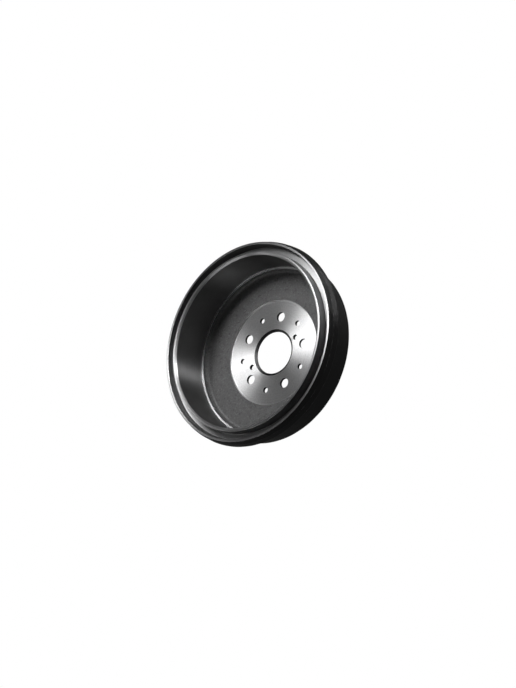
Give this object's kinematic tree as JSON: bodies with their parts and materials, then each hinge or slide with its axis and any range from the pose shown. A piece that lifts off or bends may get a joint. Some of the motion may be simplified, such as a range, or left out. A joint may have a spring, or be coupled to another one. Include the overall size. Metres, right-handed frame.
{
  "type": "brake drum",
  "caption": "Round cast-iron brake drum, open at one end, with a turned friction bore, a seal groove between two lips, and a drilled hub pad with a central bore.",
  "frame": {"origin": "centre of the wheel face, on the drum's axis, where the drum rests on its closed end", "axes": "+Z along the drum's axis towards its open end; +X through one of the two jack-screw holes; +Y through the first wheel-stud hole"},
  "size_m": [0.3206, 0.3206, 0.0803],
  "materials": {
    "cast_iron": "black-painted sand-cast iron outside, bare turned iron on the hub pad, friction bore and lips"
  },
  "bodies": {
    "root": {"brake_drum": "cast_iron"}
  },
  "joints": []
}
